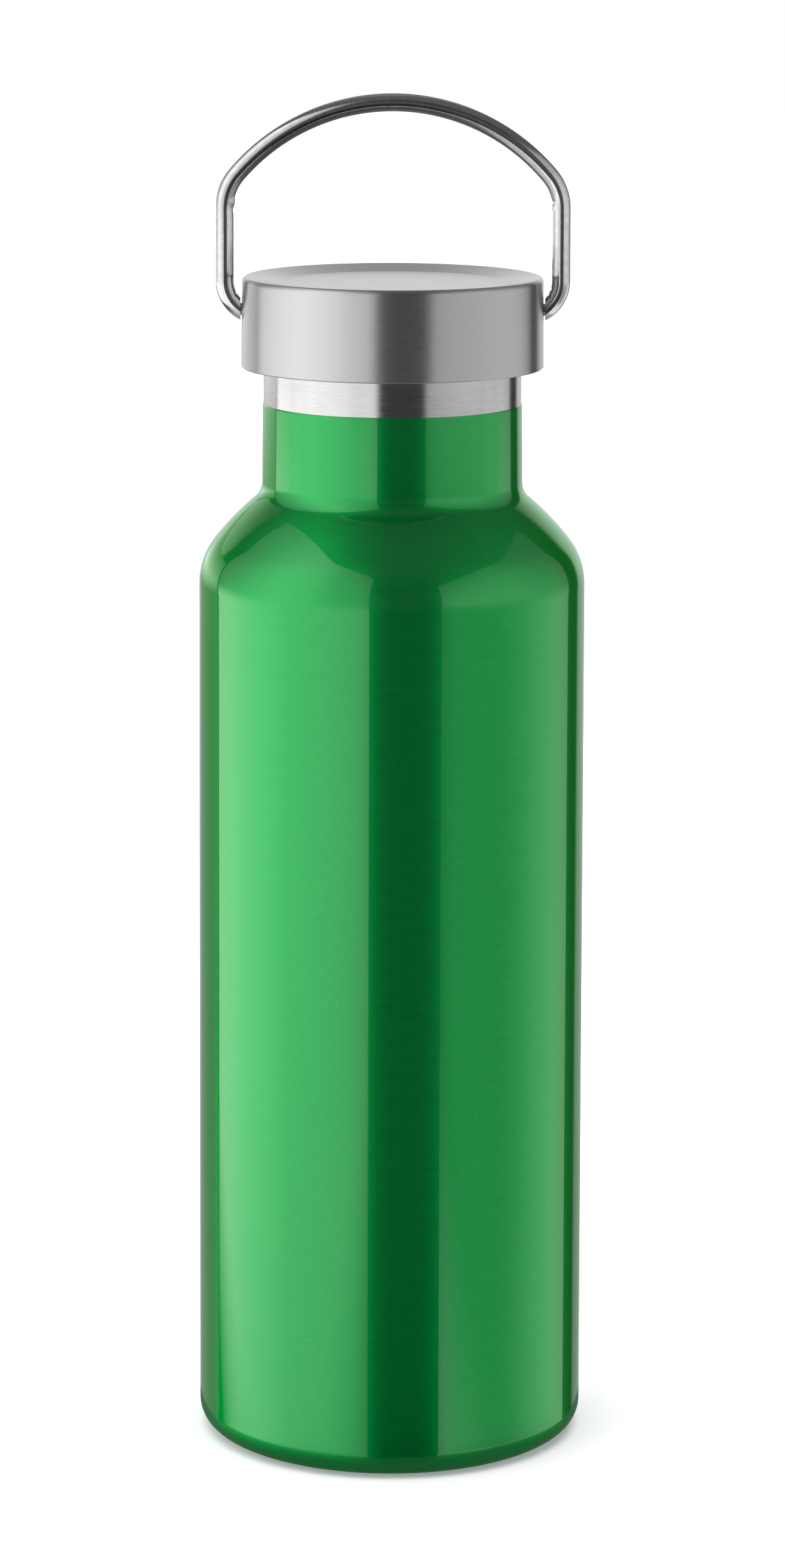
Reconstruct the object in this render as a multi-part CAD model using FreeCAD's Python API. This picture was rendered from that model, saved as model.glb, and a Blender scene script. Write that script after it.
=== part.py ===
import FreeCAD
import Part

import math
import os

from FreeCAD import Vector

# A 500 ml double-wall vacuum flask with a screw-on steel lid and a swinging bail handle.
# Frame: origin on the ground at the middle of the base, +Z up, the handle's pivot line along X.
# All sizes are in millimetres.

# Body
BODY_R = 35.0
SHELL_WALL = 0.5
LINER_R = 31.8
LINER_WALL = 0.4
BASE_SEAM_Z = 14.0
BASE_CORNER_R = 4.6
FOOT_R = 27.8
RECESS_R = 26.2
RECESS_Z = 2.2
PIT_R = 4.0
PIT_Z = 3.6
PIT_SLOPE = 1.2
VACUUM_HOLE_R = 0.8
COVER_R = 25.6
COVER_Z = (1.5, 2.1)
LINER_SEAM_Z = 18.0
LINER_FLOOR_Z = 8.0
LINER_CORNER_R = 6.0

# Shoulder: two convex arcs, then a hollow one that runs into the neck
SHOULDER_Z = 156.6
LINER_SHOULDER_Z = 153.4
UPPER_ARC_R = 13.0
UPPER_ARC_END = 38.0
SHOULDER_END = 50.0
NECK_FILLET_R = 3.9

# Neck
NECK_R = 23.6
LACQUER_TOP_R = 23.45
LACQUER_TOP_Z = 189.5
BARE_NECK_R = 23.3
BARE_NECK_TOP_Z = 196.4
BARE_NECK_CHAMFER = 0.4
THREAD_ROOT_R = 21.7
THREAD_ROOT_Z = 197.1
LIP_Z = 205.6
MOUTH_R = 19.6

# Lid
LID_BOTTOM_Z = 196.0
LID_TOP_Z = 212.4
LID_R = 27.3
LID_TOP_R = 27.2
LID_WALL = 0.6
LID_EDGE_R = 0.9
DISH_R = 20.3
DISH_DEPTH = 1.1
DISH_BLEND_R = 3.0
INSERT_R = 26.6
INSERT_BOTTOM_Z = 196.6
INSERT_TOP_Z = 210.4
SEAT_Z = 207.2
SEAT_WALL = 1.3
WELL_R = 23.3
PLUG_R = 18.1
PLUG_WALL = 1.5
PLUG_BOTTOM_Z = 196.4
PLUG_LINER_WALL = 0.4

# Screw thread, right-handed
PITCH = 3.0
MALE_CREST_R = 23.1
MALE_ROOT_WIDTH = 1.8
MALE_CREST_WIDTH = 0.9
MALE_START_Z = 199.4
MALE_TURNS = 1.57
FEMALE_WALL_R = 23.6
FEMALE_CREST_R = 22.1
FEMALE_ROOT_WIDTH = 1.6
FEMALE_CREST_WIDTH = 0.7
FEMALE_DROP = 1.27
FEMALE_TURNS = 1.6
THREAD_SINK = 0.3

# Handle
HANDLE_BAR = 3.3
HANDLE_WALL = 0.5
ARCH_R = 38.6
ARCH_Z = 206.8
LEG_X = 32.0
UPPER_BEND_R = 10.8
LOWER_BEND_R = 8.0
LOWER_BEND_Z = 211.6
HANDLE_END_X = 27.5

# Handle pivots
PIVOT_Z = 206.4
PIN_R = 1.1
PIN_END_X = 24.95
TENON_R = 0.8
TENON_LENGTH = 1.5
BUSH_GAP = 0.05
BUSH_R = 1.5
BUSH_HOLE_R = 1.54
FLANGE_R = 2.4
FLANGE_X = (25.95, 26.5)
WASHER_R = 2.3
WASHER_X = (25.58, 25.9)
CLIP_R = 2.2
CLIP_X = (25.2, 25.45)
GROOVE_R = 0.8
POCKET_HALF_WIDTH = 2.8
POCKET_X = 24.75
POCKET_BOTTOM_Z = 203.6

Z_AXIS = Vector(0, 0, 1)
Y_AXIS = Vector(0, 1, 0)
X_AXIS = Vector(1, 0, 0)
ORIGIN = Vector(0, 0, 0)


def cosine(degrees):
    return math.cos(math.radians(degrees))


def sine(degrees):
    return math.sin(math.radians(degrees))


def arc(centre_r, centre_z, radius, start, end):
    """An arc of an outline: its first, middle and last point, with angles in degrees from +r."""
    middle = (start + end) / 2
    return [(centre_r + radius * cosine(a), centre_z + radius * sine(a)) for a in (start, middle, end)]


def outline(*items):
    """A closed wire in the XZ plane through (r, z) points and arcs, joined by straight lines."""
    edges = []
    first = None
    last = None
    for item in items:
        points = [item] if isinstance(item, tuple) else item
        vectors = [Vector(r, 0, z) for r, z in points]
        if last is not None and last.distanceToPoint(vectors[0]) > 1e-6:
            edges.append(Part.LineSegment(last, vectors[0]).toShape())
        if len(vectors) == 3:
            edges.append(Part.Arc(*vectors).toShape())
        first = first or vectors[0]
        last = vectors[-1]
    if last.distanceToPoint(first) > 1e-6:
        edges.append(Part.LineSegment(last, first).toShape())
    return Part.Wire(edges)


def turned(*items):
    """A solid of revolution about Z."""
    return Part.Face(outline(*items)).revolve(ORIGIN, Z_AXIS, 360)


def tube_x(x_range, outer_r, inner_r=0.0):
    """A round bar or tube along X on the handle's pivot line."""
    low, high = x_range
    place = Vector(low, 0, PIVOT_Z)
    solid = Part.makeCylinder(outer_r, high - low, place, X_AXIS)
    if inner_r > 0:
        solid = solid.cut(Part.makeCylinder(inner_r, high - low, place, X_AXIS))
    return solid


def on_left(shape):
    """The same piece on the other side of the lid."""
    return shape.mirror(ORIGIN, X_AXIS)


def shoulder_arcs(body_r, start_z, neck_r, inward):
    """The shoulder from the body's cylinder up to the neck, moved inward by a wall thickness."""
    first_drop = UPPER_ARC_R * (1 - cosine(UPPER_ARC_END))
    last_drop = NECK_FILLET_R * (1 - cosine(SHOULDER_END))
    long_drop = body_r - first_drop - last_drop - neck_r
    long_r = long_drop / (cosine(UPPER_ARC_END) - cosine(SHOULDER_END))

    first_centre = (body_r - UPPER_ARC_R, start_z)
    reach = UPPER_ARC_R - long_r
    long_centre = (
        first_centre[0] + reach * cosine(UPPER_ARC_END),
        first_centre[1] + reach * sine(UPPER_ARC_END),
    )
    fillet_reach = long_r + NECK_FILLET_R
    fillet_centre = (
        long_centre[0] + fillet_reach * cosine(SHOULDER_END),
        long_centre[1] + fillet_reach * sine(SHOULDER_END),
    )
    return [
        arc(*first_centre, UPPER_ARC_R - inward, 0, UPPER_ARC_END),
        arc(*long_centre, long_r - inward, UPPER_ARC_END, SHOULDER_END),
        arc(*fillet_centre, NECK_FILLET_R + inward, 180 + SHOULDER_END, 180),
    ]


def backwards(arcs):
    """The same run of arcs, followed from its other end."""
    return [points[::-1] for points in reversed(arcs)]


def ridge(base_r, crest_r, base_width, crest_width, start_z, turns):
    """A helical thread ridge with a trapezoid section, its foot sunk into the wall it stands on."""
    sunk_r = base_r - THREAD_SINK if crest_r > base_r else base_r + THREAD_SINK
    section = outline(
        (sunk_r, start_z - base_width / 2),
        (crest_r, start_z - crest_width / 2),
        (crest_r, start_z + crest_width / 2),
        (sunk_r, start_z + base_width / 2),
    )
    helix = Part.makeHelix(PITCH, PITCH * turns, base_r)
    helix.translate(Vector(0, 0, start_z))
    sweep = Part.BRepOffsetAPI.MakePipeShell(Part.Wire(helix.Edges))
    sweep.setFrenetMode(True)
    sweep.add(section)
    sweep.build()
    sweep.makeSolid()
    solid = sweep.shape()
    if solid.Volume < 0:
        solid.reverse()
    return solid


# Flask body


def outer_shell():
    """Outer wall from the base seam to the lip: body, shoulder, neck and rolled screw thread."""
    thread_bore_r = THREAD_ROOT_R - SHELL_WALL
    bore_step_z = BARE_NECK_TOP_Z - 1.6
    wall = turned(
        (BODY_R, BASE_SEAM_Z),
        *shoulder_arcs(BODY_R, SHOULDER_Z, NECK_R, 0),
        (LACQUER_TOP_R, LACQUER_TOP_Z),
        (BARE_NECK_R, LACQUER_TOP_Z),
        (BARE_NECK_R, BARE_NECK_TOP_Z - BARE_NECK_CHAMFER),
        (BARE_NECK_R - BARE_NECK_CHAMFER, BARE_NECK_TOP_Z),
        (THREAD_ROOT_R, THREAD_ROOT_Z),
        (THREAD_ROOT_R, LIP_Z - LINER_WALL),
        (thread_bore_r, LIP_Z - LINER_WALL),
        (thread_bore_r, THREAD_ROOT_Z - SHELL_WALL),
        (BARE_NECK_R - SHELL_WALL, bore_step_z),
        *backwards(shoulder_arcs(BODY_R, SHOULDER_Z, NECK_R, SHELL_WALL)),
        (BODY_R - SHELL_WALL, BASE_SEAM_Z),
    )
    thread = ridge(
        THREAD_ROOT_R, MALE_CREST_R, MALE_ROOT_WIDTH, MALE_CREST_WIDTH, MALE_START_Z, MALE_TURNS
    )
    return wall.fuse(thread)


def outer_base():
    """Drawn steel cup welded to the shell: corner, foot ring, recess and the evacuation pit."""
    wall = SHELL_WALL
    corner_r = BODY_R - BASE_CORNER_R
    slope_offset = 0.4
    pit_offset = 0.3
    return turned(
        (BODY_R, BASE_SEAM_Z),
        arc(corner_r, BASE_CORNER_R, BASE_CORNER_R, 0, -90),
        (FOOT_R, 0.0),
        (RECESS_R, RECESS_Z),
        (PIT_R, RECESS_Z),
        (PIT_R - PIT_SLOPE, PIT_Z),
        (VACUUM_HOLE_R, PIT_Z),
        (VACUUM_HOLE_R, PIT_Z + wall),
        (PIT_R - PIT_SLOPE + pit_offset, PIT_Z + wall),
        (PIT_R + pit_offset, RECESS_Z + wall),
        (RECESS_R + slope_offset, RECESS_Z + wall),
        (FOOT_R + slope_offset, wall),
        arc(corner_r, BASE_CORNER_R, BASE_CORNER_R - wall, -90, 0),
        (BODY_R - wall, BASE_SEAM_Z),
    )


def vacuum_seal():
    """Bead that closes the evacuation hole: a button in the pit with a stem up the hole."""
    bead_r = 1.9
    bead_low_z = PIT_Z - 0.9
    bead_edge = (0.4, 0.3)
    stem_top_z = PIT_Z + 0.8
    return turned(
        (0.0, bead_low_z),
        (bead_r - bead_edge[0], bead_low_z),
        (bead_r, bead_low_z + bead_edge[1]),
        (bead_r, PIT_Z),
        (VACUUM_HOLE_R, PIT_Z),
        (VACUUM_HOLE_R, stem_top_z),
        (0.0, stem_top_z),
    )


def base_cover():
    """Thin disc pressed into the recess under the flask, over the vacuum seal."""
    low_z, high_z = COVER_Z
    edge = (0.6, 0.2)
    return turned(
        (0.0, low_z),
        (COVER_R - edge[0], low_z),
        (COVER_R, low_z + edge[1]),
        (COVER_R, high_z),
        (0.0, high_z),
    )


def inner_liner():
    """Inner wall that holds the drink, with its neck and the flange that is welded at the lip."""
    neck_outer_r = MOUTH_R + LINER_WALL
    lip_r = THREAD_ROOT_R
    lip_round = 0.2
    return turned(
        (LINER_R, LINER_SEAM_Z),
        *shoulder_arcs(LINER_R, LINER_SHOULDER_Z, neck_outer_r, 0),
        (neck_outer_r, LIP_Z - LINER_WALL),
        (lip_r, LIP_Z - LINER_WALL),
        (lip_r, LIP_Z - lip_round),
        (lip_r - lip_round, LIP_Z),
        (MOUTH_R + lip_round, LIP_Z),
        (MOUTH_R, LIP_Z - lip_round),
        *backwards(shoulder_arcs(LINER_R, LINER_SHOULDER_Z, neck_outer_r, LINER_WALL)),
        (LINER_R - LINER_WALL, LINER_SEAM_Z),
    )


def liner_base():
    """Dished bottom welded to the liner."""
    corner_at = (LINER_R - LINER_CORNER_R, LINER_FLOOR_Z + LINER_CORNER_R)
    return turned(
        (LINER_R, LINER_SEAM_Z),
        arc(*corner_at, LINER_CORNER_R, 0, -90),
        (0.0, LINER_FLOOR_Z),
        (0.0, LINER_FLOOR_Z + LINER_WALL),
        arc(*corner_at, LINER_CORNER_R - LINER_WALL, -90, 0),
        (LINER_R - LINER_WALL, LINER_SEAM_Z),
    )


def heat_shield():
    """Bright foil wrapped round the liner inside the vacuum."""
    inner_r = LINER_R + 0.1
    outer_r = inner_r + 0.1
    low_z = LINER_SEAM_Z + 4
    high_z = LINER_SHOULDER_Z - 3.4
    return turned((inner_r, low_z), (outer_r, low_z), (outer_r, high_z), (inner_r, high_z))


def getter_holder():
    """Small pressed cup, spot-welded under the liner's bottom, that holds the getter."""
    sheet = 0.3
    cup_r = 4.3
    rim_r = 6.0
    low_z = LINER_FLOOR_Z - 2.7
    return turned(
        (0.0, low_z),
        (cup_r, low_z),
        (cup_r, LINER_FLOOR_Z - sheet),
        (rim_r, LINER_FLOOR_Z - sheet),
        (rim_r, LINER_FLOOR_Z),
        (cup_r - sheet, LINER_FLOOR_Z),
        (cup_r - sheet, low_z + sheet),
        (0.0, low_z + sheet),
    )


def getter_pellet():
    """Pellet that keeps the vacuum by taking up gas, held in its cup."""
    pellet_r = 3.8
    thick = 1.9
    low_z = LINER_FLOOR_Z - 2.3
    return Part.makeCylinder(pellet_r, thick, Vector(0, 0, low_z))


# Lid


def lid_cover():
    """Pressed steel cover with a dished top and two side holes for the pivot bushes."""
    wall = LID_WALL
    hem = 0.2
    edge_z = LID_TOP_Z - LID_EDGE_R
    edge_centre_r = LID_TOP_R - LID_EDGE_R
    floor_z = LID_TOP_Z - DISH_DEPTH
    cover = turned(
        (LID_R - hem, LID_BOTTOM_Z),
        (LID_R, LID_BOTTOM_Z + hem),
        arc(edge_centre_r, edge_z, LID_EDGE_R, 0, 100),
        arc(DISH_R, floor_z + DISH_BLEND_R, DISH_BLEND_R, -82, -90),
        (0.0, floor_z),
        (0.0, floor_z - wall),
        (DISH_R, floor_z - wall),
        arc(edge_centre_r, edge_z, LID_EDGE_R - wall, 100, 0),
        (LID_R - wall, LID_BOTTOM_Z),
    )
    hole = tube_x((-LID_R - 1, LID_R + 1), BUSH_HOLE_R)
    return cover.cut(hole)


def lid_insert():
    """Moulded insert: screw skirt, seal seat and hollow plug, with side pockets for the pivots."""
    seat_top_z = SEAT_Z + SEAT_WALL
    plug_inner_r = PLUG_R - PLUG_WALL
    rim_chamfer = 0.6
    plug_chamfer = 0.8
    lead_in = 0.5
    body = turned(
        (INSERT_R, INSERT_BOTTOM_Z),
        (INSERT_R, INSERT_TOP_Z - rim_chamfer),
        (INSERT_R - rim_chamfer, INSERT_TOP_Z),
        (WELL_R, INSERT_TOP_Z),
        (WELL_R, seat_top_z),
        (plug_inner_r, seat_top_z),
        (plug_inner_r, PLUG_BOTTOM_Z + PLUG_WALL),
        (0.0, PLUG_BOTTOM_Z + PLUG_WALL),
        (0.0, PLUG_BOTTOM_Z),
        (PLUG_R - plug_chamfer, PLUG_BOTTOM_Z),
        (PLUG_R, PLUG_BOTTOM_Z + plug_chamfer),
        (PLUG_R, SEAT_Z),
        (FEMALE_WALL_R, SEAT_Z),
        (FEMALE_WALL_R, INSERT_BOTTOM_Z + lead_in),
        (FEMALE_WALL_R + lead_in, INSERT_BOTTOM_Z),
    )
    thread = ridge(
        FEMALE_WALL_R,
        FEMALE_CREST_R,
        FEMALE_ROOT_WIDTH,
        FEMALE_CREST_WIDTH,
        MALE_START_Z - FEMALE_DROP,
        FEMALE_TURNS,
    )
    body = body.fuse(thread)
    pocket_depth = INSERT_R + 1 - POCKET_X
    pocket_height = INSERT_TOP_Z + 1 - POCKET_BOTTOM_Z
    corner = Vector(POCKET_X, -POCKET_HALF_WIDTH, POCKET_BOTTOM_Z)
    pocket = Part.makeBox(pocket_depth, 2 * POCKET_HALF_WIDTH, pocket_height, corner)
    return body.cut([pocket, on_left(pocket)])


def plug_liner():
    """Steel cap over the plug, so that the drink meets only steel."""
    wall = PLUG_LINER_WALL
    gap = 0.05
    corner = 1.0
    outer_r = PLUG_R + wall + gap
    low_z = PLUG_BOTTOM_Z - wall - gap
    high_z = SEAT_Z - 2 * gap
    return turned(
        (0.0, low_z),
        (outer_r - corner, low_z),
        (outer_r, low_z + corner),
        (outer_r, high_z),
        (outer_r - wall, high_z),
        (outer_r - wall, low_z + corner + wall / 2),
        (outer_r - corner - wall / 2, low_z + wall),
        (0.0, low_z + wall),
    )


def foam_core():
    """Insulating foam that fills the plug and the space under the cover."""
    gap = 0.1
    stem_r = PLUG_R - PLUG_WALL - gap
    head_r = WELL_R - 2 * gap
    stem_low_z = PLUG_BOTTOM_Z + PLUG_WALL + gap
    head_low_z = SEAT_Z + SEAT_WALL + gap
    return turned(
        (0.0, stem_low_z),
        (stem_r, stem_low_z),
        (stem_r, head_low_z),
        (head_r, head_low_z),
        (head_r, INSERT_TOP_Z),
        (0.0, INSERT_TOP_Z),
    )


def mouth_gasket():
    """Flat silicone ring with one lip, pressed between the flask's rim and the lid."""
    gap = 0.05
    inner_r = PLUG_R + PLUG_LINER_WALL + 3 * gap
    outer_r = FEMALE_WALL_R - 0.4
    lip = (0.8, 0.5)
    edge = 0.2
    low_z = LIP_Z + gap
    high_z = SEAT_Z - gap
    return turned(
        (inner_r, low_z + edge),
        (inner_r + edge, low_z),
        (outer_r - lip[0], low_z),
        (outer_r, low_z + lip[1]),
        (outer_r, high_z),
        (inner_r, high_z),
    )


# Handle and pivots


def handle_section(radius):
    """Round section of the handle's bar, standing on the YZ plane at the origin."""
    return Part.Face(Part.Wire([Part.makeCircle(radius, ORIGIN, X_AXIS)]))


def section_at(section, centre, outer_r, angle):
    """The section placed on a bend about centre, at an angle from straight up towards +X."""
    placed = section.copy()
    placed.translate(centre + Vector(0, 0, outer_r - HANDLE_BAR / 2))
    placed.rotate(centre, Y_AXIS, angle)
    return placed


def handle_half(section, leg_end_z, lower_sweep):
    """Right half of the handle's bar: arch, upper bend, leg and, if any, the lower bend."""
    arch_centre = Vector(0, 0, ARCH_Z)
    bend_x = LEG_X - UPPER_BEND_R
    bend_rise = math.sqrt((ARCH_R - UPPER_BEND_R) ** 2 - bend_x**2)
    bend_centre = Vector(bend_x, 0, ARCH_Z + bend_rise)
    arch_sweep = math.degrees(math.atan2(bend_x, bend_rise))
    parts = [
        section_at(section, arch_centre, ARCH_R, 0).revolve(arch_centre, Y_AXIS, arch_sweep),
        section_at(section, bend_centre, UPPER_BEND_R, arch_sweep).revolve(
            bend_centre, Y_AXIS, 90 - arch_sweep
        ),
        section_at(section, bend_centre, UPPER_BEND_R, 90).extrude(
            Vector(0, 0, leg_end_z - bend_centre.z)
        ),
    ]
    if lower_sweep:
        lower_centre = Vector(LEG_X - LOWER_BEND_R, 0, leg_end_z)
        parts.append(
            section_at(section, lower_centre, LOWER_BEND_R, 90).revolve(
                lower_centre, Y_AXIS, lower_sweep
            )
        )
    return parts


def handle():
    """Bail bent from steel tube, hollow in its arch and legs, with solid ends."""
    end_sweep = 80
    solid_above_bend = 1.0
    bore_r = HANDLE_BAR / 2 - HANDLE_WALL
    bar = handle_half(handle_section(HANDLE_BAR / 2), LOWER_BEND_Z, end_sweep)
    outside = bar[0].fuse(bar[1:] + [on_left(part) for part in bar])
    bore = handle_half(handle_section(bore_r), LOWER_BEND_Z + solid_above_bend, 0)
    inside = bore[0].fuse(bore[1:] + [on_left(part) for part in bore])
    side = 20.0
    corner = Vector(-HANDLE_END_X, -side / 2, PIVOT_Z - side / 2)
    beyond_ends = Part.makeBox(2 * HANDLE_END_X, side, side, corner)
    tenon_hole = tube_x((HANDLE_END_X - 1, HANDLE_END_X + TENON_LENGTH), TENON_R)
    bail = outside.removeSplitter().cut([beyond_ends, tenon_hole, on_left(tenon_hole)])
    return bail.cut(inside.removeSplitter())


def pivot_pin():
    """Steel pin pressed into the handle's end, with a groove for its retaining clip."""
    side_play = 0.02
    shaft = tube_x((PIN_END_X, HANDLE_END_X), PIN_R)
    tenon = tube_x((HANDLE_END_X, HANDLE_END_X + TENON_LENGTH), TENON_R)
    groove = tube_x((CLIP_X[0] - side_play, CLIP_X[1] + side_play), PIN_R + 1, GROOVE_R)
    return shaft.fuse(tenon).cut(groove).removeSplitter()


def pivot_bush():
    """Flanged plastic bush that lines the hole in the cover, in which the pin turns."""
    bore_r = PIN_R + BUSH_GAP
    flange = tube_x(FLANGE_X, FLANGE_R, bore_r)
    sleeve = tube_x((FLANGE_X[0], LID_TOP_R), BUSH_R, bore_r)
    return flange.fuse(sleeve).removeSplitter()


def friction_washer():
    """Spring washer that presses on the bush and holds the handle where it is put."""
    return tube_x(WASHER_X, WASHER_R, PIN_R + BUSH_GAP)


def retaining_clip():
    """Open clip in the pin's groove."""
    mouth = 1.2
    reach = 2 * CLIP_R
    ring = tube_x(CLIP_X, CLIP_R, GROOVE_R + 0.02)
    slot = Part.makeBox(2, mouth, reach, Vector(CLIP_X[0] - 1, -mouth / 2, PIVOT_Z - reach))
    return ring.cut(slot)


def both_sides(shape):
    """The piece and its mirror image, as two separate solids."""
    return Part.makeCompound([shape, on_left(shape)])


def main():
    nodes = {
        "outer_shell": outer_shell(),
        "outer_base": outer_base(),
        "vacuum_seal": vacuum_seal(),
        "base_cover": base_cover(),
        "inner_liner": inner_liner(),
        "liner_base": liner_base(),
        "heat_shield_foil": heat_shield(),
        "getter_holder": getter_holder(),
        "getter_pellet": getter_pellet(),
        "lid_cover": lid_cover(),
        "lid_insert": lid_insert(),
        "plug_liner": plug_liner(),
        "foam_core": foam_core(),
        "mouth_gasket": mouth_gasket(),
        "handle": handle(),
        "pivot_pin_right": pivot_pin(),
        "pivot_pin_left": on_left(pivot_pin()),
        "pivot_bush_right": pivot_bush(),
        "pivot_bush_left": on_left(pivot_bush()),
        "friction_washers": both_sides(friction_washer()),
        "retaining_clips": both_sides(retaining_clip()),
    }
    os.makedirs("parts", exist_ok=True)
    for name, shape in nodes.items():
        shape.exportStep(f"parts/{name}.step")
        solids = len(shape.Solids)
        print(f"{name}: {solids} solid(s), {shape.Volume:.0f} mm3, valid {shape.isValid()}")


main()
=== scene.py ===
import math
from collections import namedtuple

import bmesh
import bpy
from mathutils import Matrix, Vector


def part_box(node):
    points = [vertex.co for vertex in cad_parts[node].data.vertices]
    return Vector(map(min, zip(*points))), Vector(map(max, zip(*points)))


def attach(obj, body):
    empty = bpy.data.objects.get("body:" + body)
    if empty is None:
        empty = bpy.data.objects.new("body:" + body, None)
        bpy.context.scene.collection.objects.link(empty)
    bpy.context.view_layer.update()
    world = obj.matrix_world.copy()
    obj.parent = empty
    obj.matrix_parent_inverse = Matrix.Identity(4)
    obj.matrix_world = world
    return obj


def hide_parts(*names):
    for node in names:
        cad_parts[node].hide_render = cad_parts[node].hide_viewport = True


# A lacquered double-wall vacuum flask with a brushed steel screw lid and a steel bail handle.
# Lengths are in millimetres, as in the design, and MM turns them into the frame's metres.
# The stage, lights and camera are in metres.

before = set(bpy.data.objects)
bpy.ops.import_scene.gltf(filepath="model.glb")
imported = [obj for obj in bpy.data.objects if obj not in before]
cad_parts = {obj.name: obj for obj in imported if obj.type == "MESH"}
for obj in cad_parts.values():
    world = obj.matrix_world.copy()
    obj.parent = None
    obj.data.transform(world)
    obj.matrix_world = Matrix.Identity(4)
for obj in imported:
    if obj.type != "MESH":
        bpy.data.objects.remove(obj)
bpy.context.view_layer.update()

MM = 0.001
TURN_STEPS = 288
ARC_STEPS = 14
SHARP_ANGLE = math.radians(32)
GUARD = 0.25
NO_LENGTH = 1e-6


def low(node):
    """Lowest corner of a CAD node's box, in millimetres."""
    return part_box(node)[0] / MM


def high(node):
    """Highest corner of a CAD node's box, in millimetres."""
    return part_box(node)[1] / MM


# Body
BODY_R = high("outer_base").x
BASE_SEAM_Z = high("outer_base").z
BASE_CORNER_R = 4.6
FOOT_R = 27.8
RECESS_R = 26.2
RECESS_Z = 2.2
PIT_R = 4.0
PIT_Z = 3.6
PIT_SLOPE = 1.2
VACUUM_HOLE_R = 0.8
SHELL_WALL = 0.5

# Shoulder: two convex arcs, then a hollow one that runs into the neck
SHOULDER_Z = 156.6
UPPER_ARC_R = 13.0
UPPER_ARC_END = 38.0
SHOULDER_END = 50.0
NECK_FILLET_R = 3.9

# Neck
NECK_R = 23.6
LACQUER_TOP_R = 23.45
LACQUER_TOP_Z = 189.5
BARE_NECK_R = 23.3
BARE_NECK_TOP_Z = 196.4
BARE_NECK_CHAMFER = 0.4
THREAD_ROOT_R = 21.7
THREAD_ROOT_Z = 197.1
NECK_TOP_Z = high("outer_shell").z

# Screw thread
PITCH = 3.0
THREAD_CREST_R = 23.1
THREAD_ROOT_WIDTH = 1.8
THREAD_CREST_WIDTH = 0.9
THREAD_START_Z = 199.4
THREAD_TURNS = 1.57
THREAD_SINK = 0.3

# Lid
LID_BOTTOM_Z = low("lid_cover").z
LID_TOP_Z = high("lid_cover").z
LID_R = high("lid_cover").x
LID_TOP_R = LID_R - 0.1
LID_WALL = 0.6
LID_EDGE_R = 0.9
DISH_R = 20.3
DISH_DEPTH = 1.1
DISH_BLEND_R = 3.0
BUSH_HOLE_R = 1.54

# Handle
BAR_R = high("handle").y
ARCH_Z = 206.8
ARCH_R = high("handle").z - ARCH_Z - BAR_R
LEG_X = high("handle").x - BAR_R
UPPER_BEND_R = 9.15
LOWER_BEND_R = 6.35
LOWER_BEND_Z = 211.6
HANDLE_END_X = 27.5
PIVOT_Z = 206.4


# Outlines and meshes


def arc(centre_r, centre_z, radius, start, end):
    """Points of an arc of an outline, with angles in degrees from +r."""
    points = []
    for step in range(ARC_STEPS + 1):
        angle = math.radians(start + (end - start) * step / ARC_STEPS)
        points.append((centre_r + radius * math.cos(angle), centre_z + radius * math.sin(angle)))
    return points


def outline(*items):
    """A closed run of (r, z) points and arcs. A long straight stretch gets points GUARD away from its
    ends, which keep the shading of the round stretches off it."""
    corners = []
    for item in items:
        for point in [item] if isinstance(item, tuple) else item:
            if not corners or math.dist(point, corners[-1]) > NO_LENGTH:
                corners.append(point)
    points = []
    for here, there in zip(corners, corners[1:] + corners[:1]):
        points.append(here)
        length = math.dist(here, there)
        if length > 4 * GUARD and max(here[0], there[0]) > 0:
            for share in (GUARD / length, 1 - GUARD / length):
                points.append(tuple(a + (b - a) * share for a, b in zip(here, there)))
    return points


def shoulder_arcs(body_r, start_z, neck_r, inward):
    """The shoulder from the body's cylinder up to the neck, moved inward by a wall thickness."""
    first_end = math.radians(UPPER_ARC_END)
    long_end = math.radians(SHOULDER_END)
    first_drop = UPPER_ARC_R * (1 - math.cos(first_end))
    last_drop = NECK_FILLET_R * (1 - math.cos(long_end))
    long_drop = body_r - first_drop - last_drop - neck_r
    long_r = long_drop / (math.cos(first_end) - math.cos(long_end))

    first_r = body_r - UPPER_ARC_R
    reach = UPPER_ARC_R - long_r
    long_centre = (first_r + reach * math.cos(first_end), start_z + reach * math.sin(first_end))
    fillet_reach = long_r + NECK_FILLET_R
    fillet_centre = (
        long_centre[0] + fillet_reach * math.cos(long_end),
        long_centre[1] + fillet_reach * math.sin(long_end),
    )
    return (
        arc(first_r, start_z, UPPER_ARC_R - inward, 0, UPPER_ARC_END)
        + arc(*long_centre, long_r - inward, UPPER_ARC_END, SHOULDER_END)
        + arc(*fillet_centre, NECK_FILLET_R + inward, 180 + SHOULDER_END, 180)
    )


def place_round_z(r, angle, z):
    """The place in metres at a radius and a height in millimetres."""
    return (r * math.cos(angle) * MM, r * math.sin(angle) * MM, z * MM)


def skin(bm, rings, closed):
    """Faces between neighbouring rings of vertices. A ring that is one point makes triangles."""
    following = rings[1:] + rings[:1] if closed else rings[1:]
    for ring, following_ring in zip(rings, following):
        for here in range(len(ring)):
            there = (here + 1) % len(ring)
            corners = [ring[here], ring[there], following_ring[there], following_ring[here]]
            distinct = list(dict.fromkeys(corners))
            if len(distinct) > 2:
                bm.faces.new(distinct)


def add_turned(bm, points):
    """A closed body turned about Z from a closed run of (r, z) points."""
    rings = []
    for r, z in points:
        if r < NO_LENGTH:
            rings.append([bm.verts.new((0, 0, z * MM))] * TURN_STEPS)
            continue
        ring = []
        for step in range(TURN_STEPS):
            angle = 2 * math.pi * step / TURN_STEPS
            ring.append(bm.verts.new(place_round_z(r, angle, z)))
        rings.append(ring)
    skin(bm, rings, closed=True)


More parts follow.
